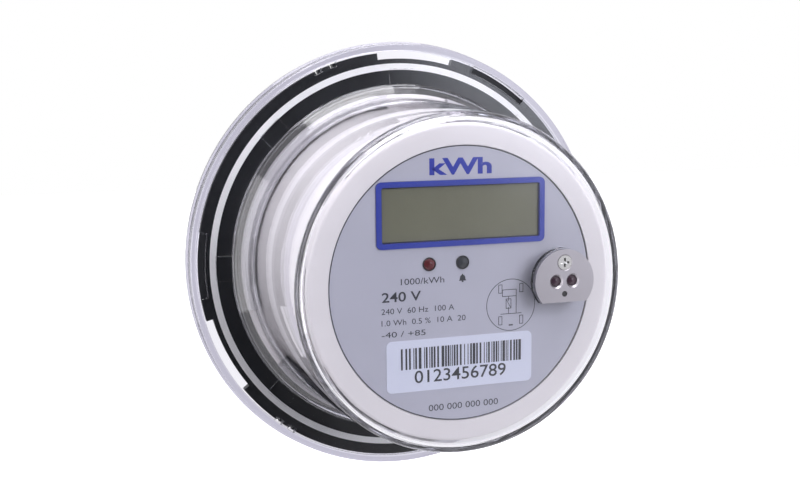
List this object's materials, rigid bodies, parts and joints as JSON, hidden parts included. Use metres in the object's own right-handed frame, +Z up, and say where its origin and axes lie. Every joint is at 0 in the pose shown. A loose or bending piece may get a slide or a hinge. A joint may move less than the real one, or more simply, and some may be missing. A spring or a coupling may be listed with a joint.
{
  "type": "smart electric meter",
  "caption": "Round plug-in electricity meter with a clear twist-off cover, display, optical port and blades at the back.",
  "frame": {"origin": "on the meter's axis, in the plane where the rim and the back of the base rest on the wall socket", "axes": "+X right and +Z up as one reads the display, which faces -Y; +Y runs into the wall, along the blades"},
  "size_m": [0.1764, 0.1084, 0.1764],
  "materials": {
    "clear_cover": "water-clear moulded polycarbonate, polished",
    "port_steel": "satin nickel-plated steel",
    "black_insert": "matt black moulding",
    "infrared_window": "dark infrared-passing acrylic",
    "zinc_screw": "bright zinc plate",
    "black_base": "black glass-filled moulding, fine spark texture",
    "white_seal": "white silicone",
    "white_housing": "white moulding, fine satin texture",
    "nameplate_film": "printed grey-blue polycarbonate film",
    "label_paper": "satin white label film",
    "blue_frame": "blue printed frame",
    "display_cell": "grey-green liquid crystal cell",
    "diffuser": "white diffuser sheet",
    "holder_plastic": "natural nylon",
    "elastomer": "pink layered elastomer",
    "red_lens": "dark red acrylic",
    "smoke_lens": "smoke grey acrylic",
    "led_epoxy": "tinted epoxy",
    "led_clear": "clear epoxy",
    "infrared_epoxy": "dark epoxy",
    "circuit_board": "green solder mask on glass epoxy",
    "chip_plastic": "black mould compound",
    "connector_plastic": "black nylon",
    "silver_can": "drawn metal can",
    "core_iron": "varnished laminated steel",
    "coil_tape": "yellow polyester tape",
    "capacitor_box": "blue moulded box",
    "varistor_blue": "blue epoxy coating",
    "sleeve_black": "shrink sleeve",
    "terminal_green": "green nylon",
    "sensor_case": "black moulding",
    "ferrite": "wound nanocrystalline ring, potted",
    "lead_yellow": "yellow insulated wire",
    "lead_red": "red insulated wire",
    "lead_white": "white insulated wire",
    "copper_bar": "bare rolled copper",
    "tinned_blade": "tin-plated copper",
    "zinc_fastener": "zinc-plated steel",
    "cotter_steel": "plated steel wire"
  },
  "bodies": {
    "meter": {"base": "black_base", "cover_seal": "white_seal", "inner_housing": "white_housing", "housing_screws": "zinc_fastener", "nameplate": "nameplate_film", "barcode_label": "label_paper", "display_frame": "blue_frame", "display_glass": "display_cell", "display_reflector": "diffuser", "display_holder": "holder_plastic", "contact_strips": "elastomer", "pulse_window": "red_lens", "alarm_window": "smoke_lens", "pulse_led": "led_epoxy", "alarm_led": "led_clear", "infrared_emitter": "infrared_epoxy", "infrared_receiver": "infrared_epoxy", "display_board": "circuit_board", "processor": "chip_plastic", "memory_chip": "chip_plastic", "board_screws": "zinc_fastener", "upper_pillars": "holder_plastic", "lower_pillars": "holder_plastic", "board_link": "connector_plastic", "metering_board": "circuit_board", "metering_chip": "chip_plastic", "crystal": "silver_can", "transformer_core": "core_iron", "transformer_coil": "coil_tape", "mains_capacitor": "capacitor_box", "varistor": "varistor_blue", "smoothing_capacitors": "sleeve_black", "backup_battery": "silver_can", "battery_holder": "connector_plastic", "lead_terminal": "terminal_green", "current_sensor_case": "sensor_case", "current_sensor_core": "ferrite", "current_sensor_leads": "lead_yellow", "current_bar": "copper_bar", "neutral_bar": "copper_bar", "line_lead": "lead_red", "neutral_lead": "lead_white", "bar_screws": "zinc_fastener", "bar_nuts": "zinc_fastener", "blade_upper_left": "tinned_blade", "blade_lower_left": "tinned_blade", "blade_upper_right": "tinned_blade", "blade_lower_right": "tinned_blade", "cotter_pins": "cotter_steel"},
    "cover": {"cover": "clear_cover", "port_plate": "port_steel", "port_insert": "black_insert", "port_light_guides": "infrared_window", "port_screw": "zinc_screw"}
  },
  "joints": [
    {"name": "cover_twist", "type": "hinge", "parent": "meter", "child": "cover", "pos_m": [0, 0, 0], "axis": [0, -1, 0], "range_deg": [0, 26.5]}
  ]
}
